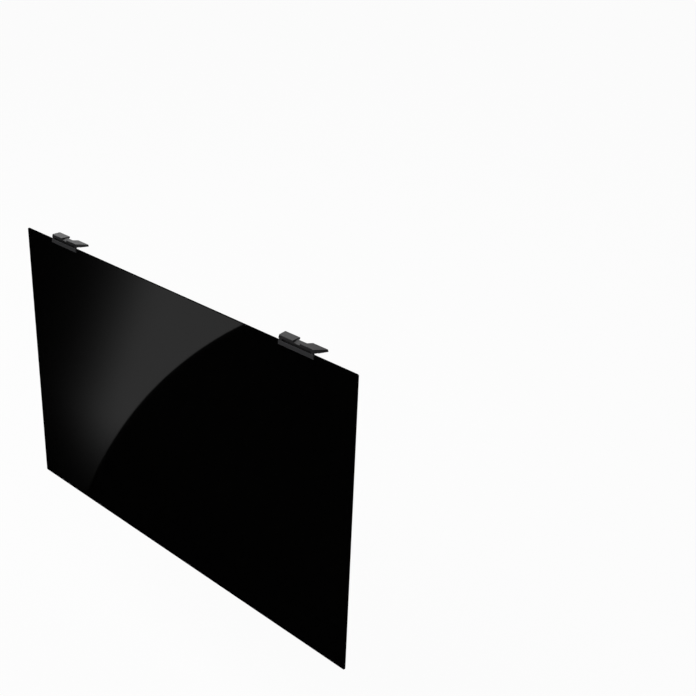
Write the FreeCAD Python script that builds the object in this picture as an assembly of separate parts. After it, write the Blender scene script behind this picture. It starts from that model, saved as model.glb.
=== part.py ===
import FreeCAD, Part
import math
import os

# Hanging privacy filter: a flat black panel with two moulded clips that hook over the top of a screen.
# Millimetres. The origin is the centre of the panel's back face, which lies against the screen.
# X runs along the width, +Y points back towards the screen, +Z is up.

# Filter panel
panel_width = 545.0
panel_height = 332.0
panel_thickness = 2.0
panel_corner_radius = 1.5
panel_edge_break = 0.2

# Distance from the panel's end to the middle of a clip
clip_inset = 79.0

# Adhesive strip between a clip's lip and the panel's face
tape_thickness = 0.4
tape_margin = 0.6

# Lip in front of the panel, measured down and up from the panel's top edge
lip_width = 48.0
lip_thickness = 1.6
lip_drop = 3.4
lip_rise = 1.4
lip_top_fall = 0.6
lip_edge_radius = 0.4

# Foot that sits on the panel's top edge
foot_width = 42.0

# Shadow groove above the lip, cut into the foot from the front of the hook
groove_height = 2.2
groove_depth = 2.0
groove_end_wall = 1.2

# Hook that reaches back over the screen's top edge, spreading and thinning to its rear edge
hook_overlap = 0.6
hook_reach = 10.8
hook_front_width = 50.4
hook_front_thickness = 3.9
hook_rear_width = 60.4
hook_rear_thickness = 1.9
hook_side_draft = 1.4
hook_front_radius = 0.6
hook_rear_radius = 0.4
hook_corner_radius = 1.0

# Flat seat under the hook, above the panel's top edge, with a shallow relief between it and the panel
seat_rise = 2.5
seat_setback = 0.5
relief_depth = 0.3

# Channel between the hook's two raised lands, level with the top of its rear edge, and the notch it ends in
channel_front_width = 9.0
channel_rear_width = 17.8
channel_side_draft = 0.3
notch_depth = 5.0

# Largest share of a straight run that the rounding of one corner may take
corner_share = 0.45

panel_top = panel_height / 2.0
panel_front = -panel_thickness
lip_back = panel_front - tape_thickness
lip_front = lip_back - lip_thickness
hook_front = lip_back - hook_overlap
groove_floor = lip_rise - lip_top_fall
hook_front_top = seat_rise + hook_front_thickness
hook_rear_top = seat_rise + hook_rear_thickness
relief_top = seat_rise + relief_depth
notch_front = hook_reach - notch_depth


def rounded_face(corners):
    """Flat face from (point, radius) pairs in order, with straight runs joined by tangent arcs."""
    starts = []
    middles = []
    ends = []
    for index, (corner, radius) in enumerate(corners):
        before = corners[index - 1][0] - corner
        after = corners[(index + 1) % len(corners)][0] - corner
        half_angle = before.getAngle(after) / 2.0
        run = min(radius / math.tan(half_angle), corner_share * min(before.Length, after.Length))
        before.normalize()
        after.normalize()
        inset = run / math.cos(half_angle) - run * math.tan(half_angle)
        starts.append(corner + before * run)
        middles.append(corner + (before + after).normalize() * inset)
        ends.append(corner + after * run)
    edges = []
    for index, (_, radius) in enumerate(corners):
        if radius > 0.0:
            edges.append(Part.Arc(starts[index], middles[index], ends[index]).toShape())
        edges.append(Part.LineSegment(ends[index], starts[(index + 1) % len(corners)]).toShape())
    return Part.Face(Part.Wire(edges))


def upright_rectangle(half_width, bottom, top, depth, radius=0.0):
    """Rectangle that faces front at a given Y, centred on X."""
    corners = ((-half_width, bottom), (half_width, bottom), (half_width, top), (-half_width, top))
    return rounded_face([(FreeCAD.Vector(x, depth, z), radius) for x, z in corners])


def mirrored_plan(right_side, height, radius=0.0):
    """Level face at a given Z from (x, y) points up the right side, and their mirror images."""
    left_side = [(-x, y) for x, y in reversed(right_side)]
    return rounded_face([(FreeCAD.Vector(x, y, height), radius) for x, y in right_side + left_side])


def filter_panel():
    """Flat sheet with small corner radii and a broken edge round both faces."""
    face = upright_rectangle(panel_width / 2.0, -panel_top, panel_top, panel_front, panel_corner_radius)
    sheet = face.extrude(FreeCAD.Vector(0, panel_thickness, 0))
    rims = [edge for edge in sheet.Edges if edge.BoundBox.YLength < panel_edge_break]
    return sheet.makeChamfer(panel_edge_break, rims)


def run_across(side_view, width):
    """Solid from a side view of (y, z, radius) corners, run across a given width about the middle."""
    face = rounded_face([(FreeCAD.Vector(-width / 2.0, y, z), radius) for y, z, radius in side_view])
    return face.extrude(FreeCAD.Vector(width, 0, 0))


def lip_plate():
    """Plate in front of the panel, whose top falls to the wall that carries the hook."""
    side_view = (
        (lip_back, relief_top, 0.0),
        (lip_back, -lip_drop, 0.0),
        (lip_front, -lip_drop, lip_edge_radius),
        (lip_front, lip_rise, lip_edge_radius / 2.0),
        (hook_front, groove_floor, 0.0),
        (hook_front, relief_top, 0.0),
    )
    return run_across(side_view, lip_width)


def hook_bar():
    """The hook's side view run across its width: a wedge above the seat and its relief."""
    side_view = (
        (seat_setback, seat_rise, 0.0),
        (seat_setback, relief_top, 0.0),
        (hook_front, relief_top, 0.0),
        (hook_front, hook_front_top, hook_front_radius),
        (hook_reach, hook_rear_top, hook_rear_radius),
        (hook_reach, seat_rise, hook_rear_radius),
    )
    return run_across(side_view, max(hook_front_width, hook_rear_width))


def block_between(front, rear):
    """Solid between two front views of four corners each, at different depths, with flat sides."""
    sides = [front, rear]
    for index in range(len(front)):
        sides.append([front[index - 1], front[index], rear[index], rear[index - 1]])
    faces = [Part.Face(Part.makePolygon(side + side[:1])) for side in sides]
    return Part.Solid(Part.Shell(faces))


def hook_corners(width, depth):
    """Front view of the hook's block at a given Y: widest at the seat, with its sides drawn in above."""
    half_below = width / 2.0
    half_above = half_below - hook_side_draft
    section = (
        (-half_below, seat_rise),
        (half_below, seat_rise),
        (half_above, hook_front_top),
        (-half_above, hook_front_top),
    )
    return [FreeCAD.Vector(x, depth, z) for x, z in section]


def hook_block():
    """The hook's outline from above, spreading to the rear, with rounded corners."""
    front = hook_corners(hook_front_width, hook_front)
    rear = hook_corners(hook_rear_width, hook_reach)
    block = block_between(front, rear)
    height = hook_front_top - seat_rise
    uprights = [edge for edge in block.Edges if edge.BoundBox.ZLength > height / 2.0]
    return block.makeFillet(hook_corner_radius, uprights)


def channel_half_width(depth):
    """Half the width of the channel's floor at a given Y."""
    share = (depth - hook_front) / (hook_reach - hook_front)
    return (channel_front_width + (channel_rear_width - channel_front_width) * share) / 2.0


def channel_corners(depth):
    """Front view of the channel at a given Y, carried on above the hook so that its sides cut clean."""
    half_floor = channel_half_width(depth)
    half_above = half_floor + 2.0 * channel_side_draft
    above = 2.0 * hook_front_top - hook_rear_top
    section = (
        (-half_floor, hook_rear_top),
        (half_floor, hook_rear_top),
        (half_above, above),
        (-half_above, above),
    )
    return [FreeCAD.Vector(x, depth, z) for x, z in section]


def channel_cut():
    """What the channel takes out of the hook: a splayed trough."""
    return block_between(channel_corners(hook_front), channel_corners(hook_reach))


def notch_cut():
    """What the notch takes out of the hook's rear edge, in line with the channel's sides."""
    right_side = [(channel_half_width(depth), depth) for depth in (notch_front, hook_reach)]
    return mirrored_plan(right_side, 0.0).extrude(FreeCAD.Vector(0, 0, hook_rear_top))


def groove_cut():
    """What the shadow groove takes out of the hook's front and the foot, above the lip."""
    half_width = foot_width / 2.0 - groove_end_wall
    face = upright_rectangle(half_width, groove_floor, groove_floor + groove_height, hook_front)
    return face.extrude(FreeCAD.Vector(0, groove_depth, 0))


def hanger_clip():
    """One clip about its own middle, with its foot on the panel's top edge."""
    foot = upright_rectangle(foot_width / 2.0, 0.0, relief_top, lip_back)
    foot = foot.extrude(FreeCAD.Vector(0, -lip_back, 0))
    hook = hook_bar().common(hook_block()).cut(channel_cut()).cut(notch_cut())
    return hook.fuse([lip_plate(), foot]).cut(groove_cut()).removeSplitter()


def mounting_tape():
    """Adhesive strip about a clip's middle, filling the gap between the lip and the panel."""
    half_width = lip_width / 2.0 - tape_margin
    strip = upright_rectangle(half_width, tape_margin - lip_drop, -tape_margin, lip_back)
    return strip.extrude(FreeCAD.Vector(0, tape_thickness, 0))


os.makedirs("parts", exist_ok=True)
filter_panel().exportStep("parts/filter_panel.step")

clip_middles = {
    "left": clip_inset - panel_width / 2.0,
    "right": panel_width / 2.0 - clip_inset,
}
for side, middle in clip_middles.items():
    place = FreeCAD.Vector(middle, 0, panel_top)
    hanger_clip().translated(place).exportStep(f"parts/{side}_hanger_clip.step")
    mounting_tape().translated(place).exportStep(f"parts/{side}_mounting_tape.step")
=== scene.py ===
# %% [markdown]
# # A hanging privacy filter
# A privacy filter is a sheet of black acrylic that lets light through straight ahead and to no other
# side, so that only a reader right in front of it sees what it covers. Two moulded clips hang it up by
# its top edge. Every solid here is already exact, so this lesson dresses the solids: what each surface is
# made of, how it was made, and what it then does with light.

# %% Load the solids
import math
import bpy
import numpy as np
from mathutils import Matrix, Vector


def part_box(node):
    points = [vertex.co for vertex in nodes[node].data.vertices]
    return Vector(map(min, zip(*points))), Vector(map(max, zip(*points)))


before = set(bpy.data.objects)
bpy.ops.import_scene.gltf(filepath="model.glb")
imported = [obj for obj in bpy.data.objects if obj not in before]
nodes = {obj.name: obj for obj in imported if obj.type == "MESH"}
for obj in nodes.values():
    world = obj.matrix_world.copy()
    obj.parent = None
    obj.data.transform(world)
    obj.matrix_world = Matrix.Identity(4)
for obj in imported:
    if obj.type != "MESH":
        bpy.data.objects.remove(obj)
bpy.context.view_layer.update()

MM = 0.001
scene = bpy.context.scene
print("solids:", ", ".join(sorted(nodes)))

# %% [markdown]
# ## Colours and nodes
# Paint charts give colours as sRGB hex values, and light adds up in linear values, so one function turns
# one into the other. Every material below is a graph of nodes. A graph is easier to read when adding a
# node is one line that names its kind, its settings and what feeds it, so one small function does that
# for all kinds. Some nodes have several inputs of one name, so inputs also go by number: in a Mix node 0
# is the share, 2 and 3 are the two numbers, and 6 and 7 are the two colours.


# %% Helpers for colours and nodes
def linear(hex_colour):
    """sRGB to linear, by channel: c / 12.92 near black, else ((c + 0.055) / 1.055) to the power 2.4."""
    srgb = np.array([int(hex_colour[i:i + 2], 16) for i in (1, 3, 5)]) / 255.0
    value = np.where(srgb <= 0.04045, srgb / 12.92, ((srgb + 0.055) / 1.055) ** 2.4)
    return (*value.tolist(), 1.0)


def add(tree, kind, settings=(), **links):
    """Adds a node. A setting is a property of the node, or the number or name of an input socket. A link
    feeds the input whose name it gives, with _ for a space, or whose number it gives after a _, from the
    output socket of another node."""
    made = tree.nodes.new("ShaderNode" + kind)
    for key, value in dict(settings).items():
        if isinstance(key, int) or key in made.inputs:
            made.inputs[key].default_value = value
        else:
            setattr(made, key, value)
    for key, output in links.items():
        socket = made.inputs[int(key[1:])] if key[1:].isdigit() else made.inputs[key.replace("_", " ")]
        tree.links.new(output, socket)
    return made


def new_material(name):
    """An empty node material, its node tree and its output node."""
    material = bpy.data.materials.new(name)
    material.use_nodes = True
    material.node_tree.nodes.clear()
    return material, material.node_tree, material.node_tree.nodes.new("ShaderNodeOutputMaterial")


def dress(material, *names):
    """Puts a material on solids, in place of the one they came with."""
    for name in names:
        nodes[name].data.materials.clear()
        nodes[name].data.materials.append(material)
    print(material.name, "on", ", ".join(names))


# %% [markdown]
# ## The panel: cast acrylic with a hard coat
# The sheet is acrylic cast between glass plates, so its faces are flat but for a slow waviness that only
# a reflected edge shows. Inside lies a film of upright black slats, about a tenth of a millimetre apart,
# which is what closes it to the side. They are far too fine to see here, so they are drawn 0.8 mm apart
# and very faint. The faces were dipped in a hard coat, and all the gloss comes from that. The sheet was
# cut to size afterwards, so its rim has no coat and stays dull. Faces and rim are one solid, so the rim
# is found by its place, within 0.25 mm of the outline.

# %% Cast acrylic
panel_low, panel_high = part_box("filter_panel")
louvre_pitch = 0.8 * MM
wave_length = 60.0 * MM
wave_height = 0.05 * MM
haze_length = 35.0 * MM
thinnest_coat = 0.94
rim_width = 0.25 * MM


def cast_acrylic():
    """Black acrylic: faint slats in the colour, slow waves in the bump, and a coat that ends at the rim."""
    material, tree, out = new_material("hard_coated_acrylic_black")
    place = add(tree, "TexCoord").outputs["Object"]
    axes = add(tree, "SeparateXYZ", Vector=place).outputs
    slats = add(tree, "Math", {"operation": "PINGPONG", 1: louvre_pitch / 2.0}, _0=axes["X"])
    slats = add(tree, "MapRange", {"From Max": louvre_pitch / 2.0}, Value=slats.outputs[0])
    across = add(tree, "Math", {"operation": "ABSOLUTE"}, _0=axes["X"])
    across = add(tree, "Math", {"operation": "GREATER_THAN", 1: panel_high.x - rim_width},
                 _0=across.outputs[0])
    along = add(tree, "Math", {"operation": "ABSOLUTE"}, _0=axes["Z"])
    along = add(tree, "Math", {"operation": "GREATER_THAN", 1: panel_high.z - rim_width},
                _0=along.outputs[0])
    rim = add(tree, "Math", {"operation": "MAXIMUM"}, _0=across.outputs[0], _1=along.outputs[0])
    film = add(tree, "Mix", {"data_type": "RGBA", 6: linear("#020202"), 7: linear("#040404")},
               _0=slats.outputs[0])
    colour = add(tree, "Mix", {"data_type": "RGBA", 7: linear("#060606")}, _0=rim.outputs[0],
                 _6=film.outputs[2])
    haze = add(tree, "TexNoise", {"Scale": 1.0 / haze_length, "Detail": 4.0}, Vector=place)
    cover = add(tree, "MapRange", {"To Min": thinnest_coat}, Value=haze.outputs[0])
    coat = add(tree, "Mix", {3: 0.0}, _0=rim.outputs[0], _2=cover.outputs[0])
    waves = add(tree, "TexNoise", {"Scale": 1.0 / wave_length, "Detail": 1.0}, Vector=place)
    bump = add(tree, "Bump", {"Strength": 0.1, "Distance": wave_height}, Height=waves.outputs[0])
    acrylic = add(tree, "BsdfPrincipled",
                  {"Roughness": 0.6, "Specular IOR Level": 0.0, "Coat Roughness": 0.05, "Coat IOR": 1.5},
                  Base_Color=colour.outputs[2], Normal=bump.outputs[0], Coat_Weight=coat.outputs[0],
                  Coat_Normal=bump.outputs[0])
    tree.links.new(acrylic.outputs[0], out.inputs["Surface"])
    return material


dress(cast_acrylic(), "filter_panel")

# %% [markdown]
# ## The clips: moulded ABS
# Each clip is one injection moulding in black ABS. The mould's faces were spark eroded, so the plastic
# has a fine pebbled skin that spreads light into a soft grey sheen. Sparks leave pits of about 0.1 mm,
# drawn here at 0.4 mm so that they show. The lip in front of the panel has a coarser finish than the
# hook, and scatters more. Its colour is also painted lighter than the rest of the moulding: painted
# light, for the extra light the lip catches. Moulded edges are never quite sharp, so a Bevel node turns
# the normals round within a quarter of a millimetre of each edge, as the rounding of the real mould does.

# %% Moulded ABS
clip_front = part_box("left_hanger_clip")[0].y
lip_depth = 0.9 * MM
lip_roughness = 0.5
hook_smoothest = 0.38
hook_roughest = 0.48
pit_size = 0.4 * MM
pit_depth = 0.03 * MM
flow_size = 9.0 * MM
edge_radius = 0.25 * MM


def moulded_abs():
    """Black ABS: pits in the bump, flow marks in colour and roughness, and a rougher lip painted lighter as
    painted light.
    """
    material, tree, out = new_material("moulded_abs_black")
    place = add(tree, "TexCoord").outputs["Object"]
    axes = add(tree, "SeparateXYZ", Vector=place).outputs
    lip = add(tree, "Math", {"operation": "LESS_THAN", 1: clip_front + lip_depth}, _0=axes["Y"])
    flow = add(tree, "TexNoise", {"Scale": 1.0 / flow_size, "Detail": 5.0}, Vector=place)
    skin = add(tree, "Mix", {"data_type": "RGBA", 6: linear("#1E1E1F"), 7: linear("#262628")},
               _0=flow.outputs[0])
    # Painted light: the lip gets a lighter grey than the rest of the same moulding, for the extra light it
    # catches.
    colour = add(tree, "Mix", {"data_type": "RGBA", 7: linear("#303032")}, _0=lip.outputs[0],
                 _6=skin.outputs[2])
    smooth = add(tree, "MapRange", {"To Min": hook_smoothest, "To Max": hook_roughest},
                 Value=flow.outputs[0])
    rough = add(tree, "Mix", {3: lip_roughness}, _0=lip.outputs[0], _2=smooth.outputs[0])
    edge = add(tree, "Bevel", {"samples": 6, "Radius": edge_radius})
    pits = add(tree, "TexNoise", {"Scale": 1.0 / pit_size, "Detail": 2.0}, Vector=place)
    bump = add(tree, "Bump", {"Strength": 0.35, "Distance": pit_depth}, Height=pits.outputs[0],
               Normal=edge.outputs[0])
    plastic = add(tree, "BsdfPrincipled", {"IOR": 1.53}, Base_Color=colour.outputs[2],
                  Roughness=rough.outputs[0], Normal=bump.outputs[0])
    tree.links.new(plastic.outputs[0], out.inputs["Surface"])
    return material


dress(moulded_abs(), "left_hanger_clip", "right_hanger_clip")

# %% [markdown]
# ## The tape: acrylic foam
# A strip of black foam tape bonds each lip to the panel. Only its cut edge shows, as a dull line of tiny
# closed cells, so it is the least shiny thing here: a high roughness, and cells of about 0.3 mm in colour
# and bump.

# %% Foam tape
cell_size = 0.3 * MM
cell_depth = 0.05 * MM


def foam_tape():
    """Black foam: round cells, darker at their walls, with no gloss to speak of."""
    material, tree, out = new_material("acrylic_foam_tape")
    place = add(tree, "TexCoord").outputs["Object"]
    cells = add(tree, "TexVoronoi", {"Scale": 1.0 / cell_size}, Vector=place)
    colour = add(tree, "Mix", {"data_type": "RGBA", 6: linear("#141414"), 7: linear("#070707")},
                 _0=cells.outputs[0])
    bump = add(tree, "Bump", {"Strength": 0.5, "Distance": cell_depth}, Height=cells.outputs[0])
    foam = add(tree, "BsdfPrincipled", {"Roughness": 0.9, "IOR": 1.45}, Base_Color=colour.outputs[2],
               Normal=bump.outputs[0])
    tree.links.new(foam.outputs[0], out.inputs["Surface"])
    return material


dress(foam_tape(), "left_mounting_tape", "right_mounting_tape")

# %% [markdown]
# ## The camera
# The viewpoint was solved from the corners of the panel and the two clips: to the right of the panel, a
# little above it and looking down, with a lens a little longer than normal. Three unit vectors say which
# way is right, up and back.

# %% Camera
view_right = Vector((0.71835, 0.69463, 0.03825))
view_up = Vector((-0.30866, 0.26895, 0.91235))
view_back = Vector((0.62346, -0.66719, 0.40761))
view_turn = Matrix((view_right, view_up, view_back)).transposed().to_4x4()
eye = Vector((0.89437, -0.68174, 0.60345))

camera_data = bpy.data.cameras.new("camera")
camera_data.sensor_width = 36.0
camera_data.lens = 58.8235
camera = bpy.data.objects.new("camera", camera_data)
camera.matrix_world = Matrix.Translation(eye) @ view_turn
scene.collection.objects.link(camera)
scene.camera = camera
print("camera at", [round(c, 3) for c in eye])

# %% [markdown]
# ## The stage
# A black gloss sheet shows nothing but what stands in front of it, so it is lit as it would be in a
# studio: with cards. Each card is a surface worked out on a grid, and only reflections see it. Black
# cards in front, on the right and behind keep the sheet black and the clips dark, and a glowing card with
# a round edge makes the one soft gleam on the sheet.


# %% Surfaces on a grid
def grid_object(name, points, **attributes):
    """A mesh from points of shape (rows, columns, 3): a face joins each point to the next in its row and
    column."""
    rows, columns = points.shape[:2]
    corner = np.arange(rows * columns).reshape(rows, columns)
    faces = np.stack([corner[:-1, :-1], corner[:-1, 1:], corner[1:, 1:], corner[1:, :-1]], axis=-1)
    mesh = bpy.data.meshes.new(name)
    mesh.from_pydata(points.reshape(-1, 3).tolist(), [], faces.reshape(-1, 4).tolist())
    for key, values in attributes.items():
        attribute = mesh.attributes.new(key, "FLOAT", "POINT")
        attribute.data.foreach_set("value", values.ravel().astype(np.float32))
    made = bpy.data.objects.new(name, mesh)
    scene.collection.objects.link(made)
    return made


def swept(profile, start, end):
    """A profile carried along a straight path: each point is path(t) + profile(s), for t from 0 to 1."""
    path = np.stack([start, end]).astype(float)
    return path[:, None, :] + np.asarray(profile, float)[None, :, :]


def only_reflected(card):
    """A card that reflections see, and neither the camera nor any other light."""
    card.visible_camera = False
    card.visible_diffuse = False
    card.visible_transmission = False
    card.visible_shadow = False


# %% [markdown]
# ### The floor
# A plain pale floor runs far back, so that it fills the picture. To the eye, and in gloss and glass, most
# of its brightness is its own, which keeps it an even white, and the rest is light that falls on it,
# which keeps a soft shadow of the panel.

# %% Floor
floor_level = -0.32
floor_half = 12.0
floor_own_light = 0.93


def seen_directly(tree):
    """A socket that is 1 for rays from the camera, from gloss and through glass, and 0 for all others."""
    rays = add(tree, "LightPath").outputs
    seen = add(tree, "Math", {"operation": "MAXIMUM"}, _0=rays["Is Camera Ray"], _1=rays["Is Glossy Ray"])
    seen = add(tree, "Math", {"operation": "MAXIMUM"}, _0=seen.outputs[0], _1=rays["Is Transmission Ray"])
    return seen.outputs[0]


def pale_floor():
    """White paint that glows for the eye and for reflections, and is matt paint for all other light."""
    material, tree, out = new_material("pale_floor_paint")
    share = add(tree, "Math", {"operation": "MULTIPLY", 1: floor_own_light}, _0=seen_directly(tree))
    paint = add(tree, "BsdfDiffuse", {"Color": linear("#F4F4F4")})
    glow = add(tree, "Emission", {"Color": linear("#FFFFFF"), "Strength": 1.0})
    both = add(tree, "MixShader", _0=share.outputs[0], _1=paint.outputs[0], _2=glow.outputs[0])
    tree.links.new(both.outputs[0], out.inputs["Surface"])
    return material


floor_profile = [(0, -floor_half, floor_level), (0, floor_half, floor_level)]
floor = grid_object("floor", swept(floor_profile, (floor_half, 0, 0), (-floor_half, 0, 0)))
floor.data.materials.append(pale_floor())
print("floor", round((panel_low.z - floor_level) / MM), "mm below the panel")

# %% [markdown]
# ### The black cards
# Velvet is the blackest cloth that a studio has. A hard edge would show in the panel's gloss, so the
# velvet can thin out: each point of a card holds how much cover it has, and light passes through the
# rest.

# %% Velvet and soft cards
soft_edge = 0.6
card_points = 41


def black_velvet():
    """Velvet gives back almost nothing, and lets light through where its cover is thin."""
    material, tree, out = new_material("black_velvet")
    cover = add(tree, "Attribute", {"attribute_name": "cover"})
    gap = add(tree, "BsdfTransparent")
    cloth = add(tree, "BsdfDiffuse", {"Color": linear("#000000")})
    both = add(tree, "MixShader", _0=cover.outputs["Fac"], _1=gap.outputs[0], _2=cloth.outputs[0])
    tree.links.new(both.outputs[0], out.inputs["Surface"])
    return material


def soft_card(name, corner, across, upward):
    """A flat card: corner + u across + v upward, for u and v from 0 to 1. Its cover is the product of four
    ramps, each from 0 at an edge to 1 at one soft edge further in."""
    u, v = np.meshgrid(np.linspace(0.0, 1.0, card_points), np.linspace(0.0, 1.0, card_points))
    across, upward = np.array(across), np.array(upward)
    points = np.array(corner) + u[..., None] * across + v[..., None] * upward
    sides = ((across, u), (across, 1.0 - u), (upward, v), (upward, 1.0 - v))
    depths = np.array([share * np.linalg.norm(side) for side, share in sides])
    return grid_object(name, points, cover=np.prod(np.clip(depths / soft_edge, 0.0, 1.0), axis=0))


# %% [markdown]
# The front card lies on the floor before the panel and then turns up in a quarter circle, so that what
# the panel's face mirrors for the camera ends on it. The side card stands to the right, and keeps the
# right-hand ends of the clips dark. The rear card stands behind, and takes some of the white room out of
# the tops of the clips, more on the right than on the left. The panel's back mirrors these two, so they
# are the soft ones.

# %% Black cards
front_card_start = -0.01
front_card_reach = -0.22
front_card_bend = 0.06
front_card_top = 0.9
front_card_left = -1.6
front_card_right = 1.0
bend_points = 13
card_lift = 2.0 * MM
card_foot = floor_level - soft_edge
side_card_place = (0.62, -0.7, card_foot)
side_card_width = 1.44
side_card_height = 2.6
rear_card_place = (-0.98, 1.0, card_foot)
rear_card_width = 2.2
rear_card_height = 2.3

turn = np.linspace(0.0, math.pi / 2.0, bend_points)
bend_y = front_card_reach - front_card_bend * np.sin(turn)
bend_z = floor_level + card_lift + front_card_bend * (1.0 - np.cos(turn))
front_profile = np.concatenate([
    [(0.0, front_card_start, bend_z[0])],
    np.stack([np.zeros_like(turn), bend_y, bend_z], axis=-1),
    [(0.0, bend_y[-1], front_card_top)],
])
front_sheet = swept(front_profile, (front_card_left, 0, 0), (front_card_right, 0, 0))
front_card = grid_object("front_card", front_sheet, cover=np.ones(front_sheet.shape[:2]))
side_card = soft_card("side_card", side_card_place, (0, side_card_width, 0), (0, 0, side_card_height))
rear_card = soft_card("rear_card", rear_card_place, (rear_card_width, 0, 0), (0, 0, rear_card_height))
velvet = black_velvet()
for card in (front_card, side_card, rear_card):
    card.data.materials.append(velvet)
    only_reflected(card)
    print(card.name, "of", len(card.data.vertices), "points")

# %% [markdown]
# ### The glowing card
# The gleam on the panel has a sharp round edge on its right, and fades out to the upper left and at the
# bottom. A mirror image is what an eye behind the mirror would see through it as a window. So the round
# edge is drawn on the panel, and each of its points is carried out to the card along the line from the
# mirrored eye: all distances from that eye grow by the same factor, and a circle stays a circle. Gloss
# grows where the panel is seen at a flatter angle, which is further away, so the card glows less there
# and the gleam comes out even.

# %% Gleam on the panel
gleam_centre_x = 0.6426
gleam_centre_z = -0.6136
gleam_radius = 0.9401
gleam_depth = 0.5
gleam_first_angle = 100.0
gleam_last_angle = 160.0
points_along = 121
points_deep = 101
fade_left_x = 0.894
fade_left_z = -0.447
fade_left_knee = -0.1183
fade_left_width = 0.0293
fade_down_knee = -0.0602
fade_down_width = 0.0304


def rising(value, knee, width):
    """Grows by a factor of e with every width far below the knee, and levels off at 1 above it."""
    return 1.0 - np.exp(-np.exp((value - knee) / width))


along_edge = np.radians(np.linspace(gleam_first_angle, gleam_last_angle, points_along))
angle, reach = np.meshgrid(along_edge, np.linspace(0.0, gleam_depth, points_deep))
on_panel_x = gleam_centre_x + (gleam_radius + reach) * np.cos(angle)
on_panel_z = gleam_centre_z + (gleam_radius + reach) * np.sin(angle)
slant = fade_left_x * on_panel_x + fade_left_z * on_panel_z
fade_left = rising(slant, fade_left_knee, fade_left_width)
fade_down = rising(on_panel_z, fade_down_knee, fade_down_width)
print("gleam of", angle.size, "points, brightest", round(float((fade_left * fade_down).max()), 3))

# %% [markdown]
# Paper that is lit from behind glows evenly, and here each point of the paper holds a glow of its own, so
# one material gives the fades. The card stands a little way in front of the panel. Nothing but a
# reflection sees it, so it never gets in the camera's way.

# %% Glowing card
card_plane = -0.12
face_plane = panel_low.y
gleam_strength = 0.37
near_sight = 1.2
gloss_growth = 1.6

mirrored_eye = np.array([eye.x, 2.0 * face_plane - eye.y, eye.z])
on_panel = np.stack([on_panel_x, np.full_like(on_panel_x, face_plane), on_panel_z], axis=-1)
flatness = np.linalg.norm(on_panel - mirrored_eye, axis=-1) / near_sight
glow = fade_left * fade_down / flatness ** gloss_growth
growth = (mirrored_eye[1] - card_plane) / (mirrored_eye[1] - face_plane)
glow_card = grid_object("glow_card", mirrored_eye + (on_panel - mirrored_eye) * growth, glow=glow)


def lit_paper():
    """Paper lit from behind: it glows as strongly as the glow that each of its points holds."""
    material, tree, out = new_material("lit_paper")
    held = add(tree, "Attribute", {"attribute_name": "glow"})
    strength = add(tree, "Math", {"operation": "MULTIPLY", 1: gleam_strength}, _0=held.outputs["Fac"])
    paper = add(tree, "Emission", {"Color": linear("#FFFFFF")}, Strength=strength.outputs[0])
    tree.links.new(paper.outputs[0], out.inputs["Surface"])
    return material


glow_card.data.materials.append(lit_paper())
only_reflected(glow_card)
print("glowing card is", round(growth, 3), "times the size of the gleam")

# %% [markdown]
# ### Light
# A plain white room lights everything softly from all sides, and one large lamp above and in front on the
# left gives it a direction. Together they light a level white surface to about its own brightness, so a
# colour looks as written. To the eye and in gloss the room is simply white, whatever light it gives.

# %% Room and lamp
room_light = 0.55
room_white = 0.97
lamp_size = 2.2
lamp_watts = 24.0
lamp_place = Vector((-1.3, -0.9, 1.8))

world = bpy.data.worlds.new("white_room")
scene.world = world
world.use_nodes = True
room = world.node_tree
room.nodes.clear()
level = add(room, "MapRange", {"To Min": room_light, "To Max": room_white}, Value=seen_directly(room))
white = add(room, "Background", {"Color": linear("#FEFEFE")}, Strength=level.outputs[0])
add(room, "OutputWorld", Surface=white.outputs[0])

lamp_data = bpy.data.lights.new("soft_lamp", "AREA")
lamp_data.shape = "SQUARE"
lamp_data.size = lamp_size
lamp_data.energy = lamp_watts
lamp = bpy.data.objects.new("soft_lamp", lamp_data)
lamp_turn = lamp_place.to_track_quat("Z", "Y").to_matrix().to_4x4()
lamp.matrix_world = Matrix.Translation(lamp_place) @ lamp_turn
scene.collection.objects.link(lamp)

scene.view_settings.view_transform = "Standard"
print("room at", room_light, "and lamp of", lamp_watts, "W,", round(lamp_place.length, 2), "m away")
